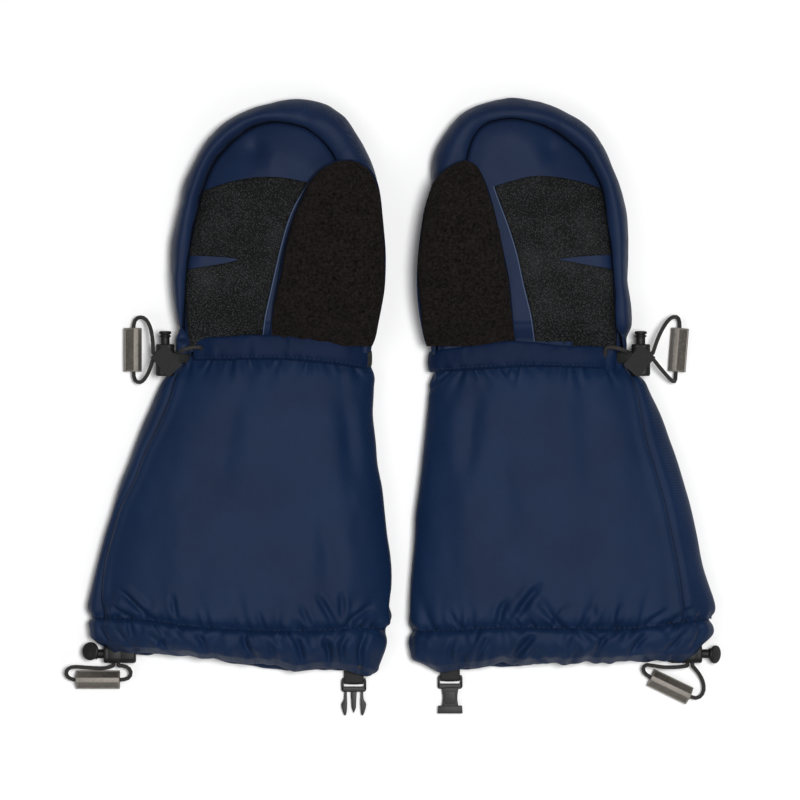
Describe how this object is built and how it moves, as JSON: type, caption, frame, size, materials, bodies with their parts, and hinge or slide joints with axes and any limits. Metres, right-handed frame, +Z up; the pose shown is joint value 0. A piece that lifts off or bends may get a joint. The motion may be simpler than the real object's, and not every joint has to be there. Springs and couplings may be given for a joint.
{
  "type": "pair of long-cuffed insulated winter mittens",
  "caption": "Padded long-cuffed mittens with fleece thumbs, grip patches, cord locks with metal toggles at wrist and hem, and a small side-release buckle that clips the pair together.",
  "frame": {"origin": "on the floor under the middle of the pair's bounding box, measured without the free cord loops and their beads", "axes": "+Y from the cuffs towards the fingertips, +Z up out of the palms, +X from the right-hand mitten to the left-hand mitten"},
  "size_m": [0.3366, 0.3188, 0.0447],
  "materials": {
    "navy_nylon": "matt woven nylon twill, padded",
    "grip_patch": "coarse granular non-slip",
    "fleece": "short brushed fleece",
    "lining": "soft knitted",
    "cord": "round braided elastic",
    "webbing": "ribbed narrow webbing",
    "black_plastic": "fine satin",
    "pewter": "cast pewter, antiqued",
    "spring_steel": "bright wire"
  },
  "bodies": {
    "right_cuff": {"right_cuff_palm_panel": "navy_nylon", "right_cuff_back_panel": "navy_nylon", "right_cuff_lining": "lining", "right_wrist_casing_palm": "navy_nylon", "right_wrist_casing_back": "navy_nylon", "right_hem_casing": "navy_nylon", "right_wrist_drawcord": "cord", "right_wrist_lock_body": "black_plastic", "right_wrist_lock_spring": "spring_steel", "right_wrist_lock_tab": "webbing", "right_hem_drawcord": "cord", "right_hem_lock_body": "black_plastic", "right_hem_lock_spring": "spring_steel"},
    "right_hand": {"right_hand_back_shell": "navy_nylon", "right_palm_panel": "navy_nylon", "right_grip_patch": "grip_patch", "right_hand_lining": "lining"},
    "right_thumb": {"right_thumb_fleece": "fleece", "right_thumb_underside": "navy_nylon", "right_thumb_lining": "lining"},
    "right_wrist_button": {"right_wrist_lock_plunger": "black_plastic"},
    "right_wrist_loop": {"right_wrist_cord_loop": "cord"},
    "right_wrist_toggle": {"right_wrist_bead": "pewter"},
    "right_hem_button": {"right_hem_lock_plunger": "black_plastic"},
    "right_hem_loop": {"right_hem_cord_loop": "cord"},
    "right_hem_toggle": {"right_hem_bead": "pewter"},
    "right_buckle_strap": {"right_buckle_webbing": "webbing"},
    "right_buckle": {"right_buckle_tongue": "black_plastic"},
    "right_latch_inner": {"right_buckle_latch_inner": "black_plastic"},
    "right_latch_outer": {"right_buckle_latch_outer": "black_plastic"},
    "left_cuff": {"left_cuff_palm_panel": "navy_nylon", "left_cuff_back_panel": "navy_nylon", "left_cuff_lining": "lining", "left_wrist_casing_palm": "navy_nylon", "left_wrist_casing_back": "navy_nylon", "left_hem_casing": "navy_nylon", "left_wrist_drawcord": "cord", "left_wrist_lock_body": "black_plastic", "left_wrist_lock_spring": "spring_steel", "left_wrist_lock_tab": "webbing", "left_hem_drawcord": "cord", "left_hem_lock_body": "black_plastic", "left_hem_lock_spring": "spring_steel"},
    "left_hand": {"left_hand_back_shell": "navy_nylon", "left_palm_panel": "navy_nylon", "left_grip_patch": "grip_patch", "left_hand_lining": "lining"},
    "left_thumb": {"left_thumb_fleece": "fleece", "left_thumb_underside": "navy_nylon", "left_thumb_lining": "lining"},
    "left_wrist_button": {"left_wrist_lock_plunger": "black_plastic"},
    "left_wrist_loop": {"left_wrist_cord_loop": "cord"},
    "left_wrist_toggle": {"left_wrist_bead": "pewter"},
    "left_hem_button": {"left_hem_lock_plunger": "black_plastic"},
    "left_hem_loop": {"left_hem_cord_loop": "cord"},
    "left_hem_toggle": {"left_hem_bead": "pewter"},
    "left_buckle_strap": {"left_buckle_webbing": "webbing"},
    "left_buckle": {"left_buckle_socket": "black_plastic"}
  },
  "joints": [
    {"name": "right_wrist_bend", "type": "hinge", "parent": "right_cuff", "child": "right_hand", "pos_m": [-0.065, 0.03821, 0.0296], "axis": [1, 0, 0], "range_deg": [0, 35]},
    {"name": "right_thumb_lift", "type": "hinge", "parent": "right_hand", "child": "right_thumb", "pos_m": [-0.042, 0.03941, 0.0294], "axis": [1, 0, 0], "range_deg": [0, 50]},
    {"name": "right_wrist_button_press", "type": "slide", "parent": "right_cuff", "child": "right_wrist_button", "axis": [0, -1, 0], "range_m": [0, 0.003], "stiffness_N_per_m": 250, "springref_m": -0.002, "deforming": ["right_wrist_lock_spring"]},
    {"name": "right_hem_button_press", "type": "slide", "parent": "right_cuff", "child": "right_hem_button", "axis": [1, 0, 0], "range_m": [0, 0.003], "stiffness_N_per_m": 250, "springref_m": -0.002, "deforming": ["right_hem_lock_spring"]},
    {"name": "right_wrist_loop_lift", "type": "hinge", "parent": "right_cuff", "child": "right_wrist_loop", "pos_m": [-0.12862, 0.02687, 0.02], "axis": [0, 1, 0], "range_deg": [0, 45]},
    {"name": "right_hem_loop_lift", "type": "hinge", "parent": "right_cuff", "child": "right_hem_loop", "pos_m": [-0.14853, -0.13326, 0.009], "axis": [-1, 0, 0], "range_deg": [0, 30]},
    {"name": "right_wrist_toggle_spin", "type": "hinge", "parent": "right_wrist_loop", "child": "right_wrist_toggle", "pos_m": [-0.13956, 0.03022, 0.0062], "axis": [0, -1, 0], "continuous": true},
    {"name": "right_hem_toggle_spin", "type": "hinge", "parent": "right_hem_loop", "child": "right_hem_toggle", "pos_m": [-0.1581, -0.14076, 0.0059], "axis": [1, 0, 0], "continuous": true},
    {"name": "right_buckle_strap_lift", "type": "hinge", "parent": "right_cuff", "child": "right_buckle_strap", "pos_m": [-0.02549, -0.13492, 0.0053], "axis": [-1, 0, 0], "range_deg": [0, 45]},
    {"name": "right_buckle_pivot", "type": "hinge", "parent": "right_buckle_strap", "child": "right_buckle", "pos_m": [-0.02549, -0.14102, 0.0027], "axis": [-1, 0, 0], "range_deg": [0, 60]},
    {"name": "right_latch_inner_squeeze", "type": "hinge", "parent": "right_buckle", "child": "right_latch_inner", "pos_m": [-0.02124, -0.14752, 0.0027], "axis": [0, 0, -1], "range_deg": [0, 6], "stiffness_Nm_per_rad": 0.02},
    {"name": "right_latch_outer_squeeze", "type": "hinge", "parent": "right_buckle", "child": "right_latch_outer", "pos_m": [-0.02974, -0.14752, 0.0027], "axis": [0, 0, 1], "range_deg": [0, 6], "stiffness_Nm_per_rad": 0.02},
    {"name": "pair_apart", "type": "slide", "parent": "right_cuff", "child": "left_cuff", "axis": [1, 0, 0], "range_m": [0, 0.15]},
    {"name": "left_wrist_bend", "type": "hinge", "parent": "left_cuff", "child": "left_hand", "pos_m": [0.065, 0.03821, 0.0296], "axis": [1, 0, 0], "range_deg": [0, 35]},
    {"name": "left_thumb_lift", "type": "hinge", "parent": "left_hand", "child": "left_thumb", "pos_m": [0.042, 0.03941, 0.0294], "axis": [1, 0, 0], "range_deg": [0, 50]},
    {"name": "left_wrist_button_press", "type": "slide", "parent": "left_cuff", "child": "left_wrist_button", "axis": [0, -1, 0], "range_m": [0, 0.003], "stiffness_N_per_m": 250, "springref_m": -0.002, "deforming": ["left_wrist_lock_spring"]},
    {"name": "left_hem_button_press", "type": "slide", "parent": "left_cuff", "child": "left_hem_button", "axis": [-1, 0, 0], "range_m": [0, 0.003], "stiffness_N_per_m": 250, "springref_m": -0.002, "deforming": ["left_hem_lock_spring"]},
    {"name": "left_wrist_loop_lift", "type": "hinge", "parent": "left_cuff", "child": "left_wrist_loop", "pos_m": [0.12862, 0.02687, 0.02], "axis": [0, -1, 0], "range_deg": [0, 45]},
    {"name": "left_hem_loop_lift", "type": "hinge", "parent": "left_cuff", "child": "left_hem_loop", "pos_m": [0.14853, -0.13326, 0.009], "axis": [-1, 0, 0], "range_deg": [0, 20]},
    {"name": "left_wrist_toggle_spin", "type": "hinge", "parent": "left_wrist_loop", "child": "left_wrist_toggle", "pos_m": [0.1424, 0.03022, 0.0062], "axis": [-0.0807, -0.9967, 0], "continuous": true},
    {"name": "left_hem_toggle_spin", "type": "hinge", "parent": "left_hem_loop", "child": "left_hem_toggle", "pos_m": [0.13853, -0.14436, 0.006], "axis": [-0.9004, 0.435, 0], "continuous": true},
    {"name": "left_buckle_strap_lift", "type": "hinge", "parent": "left_cuff", "child": "left_buckle_strap", "pos_m": [0.02446, -0.13447, 0.0053], "axis": [-1, 0, 0], "range_deg": [0, 45]},
    {"name": "left_buckle_pivot", "type": "hinge", "parent": "left_buckle_strap", "child": "left_buckle", "pos_m": [0.02446, -0.13947, 0.0027], "axis": [-1, 0, 0], "range_deg": [0, 60]}
  ]
}
